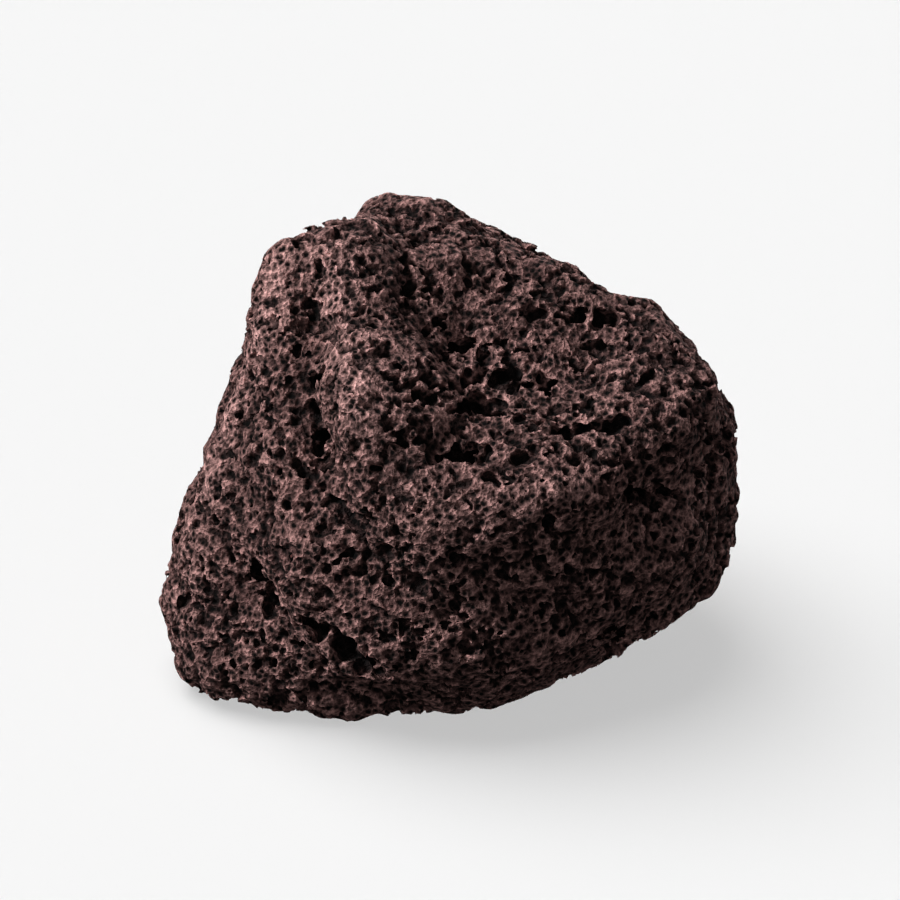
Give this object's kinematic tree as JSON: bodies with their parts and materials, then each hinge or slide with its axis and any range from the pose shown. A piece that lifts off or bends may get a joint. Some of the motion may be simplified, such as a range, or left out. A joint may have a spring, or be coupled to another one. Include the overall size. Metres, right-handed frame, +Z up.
{
  "type": "lava rock",
  "caption": "Loose lump of porous red-brown lava rock with blunt fracture faces, a groove, a ledge and pits all over, resting on its flattest face.",
  "frame": {"origin": "at the level of the resting face, under the middle of the lump's bounding box", "axes": "+Z up from the resting face, +X to the right of the front view, -Y towards the front"},
  "size_m": [0.0738, 0.0652, 0.0566],
  "materials": {
    "scoria": "matt red-brown foamy stone, rough and pitted all over, with paler dusty rims and near-black pits"
  },
  "bodies": {
    "root": {"lava_rock": "scoria"}
  },
  "joints": []
}
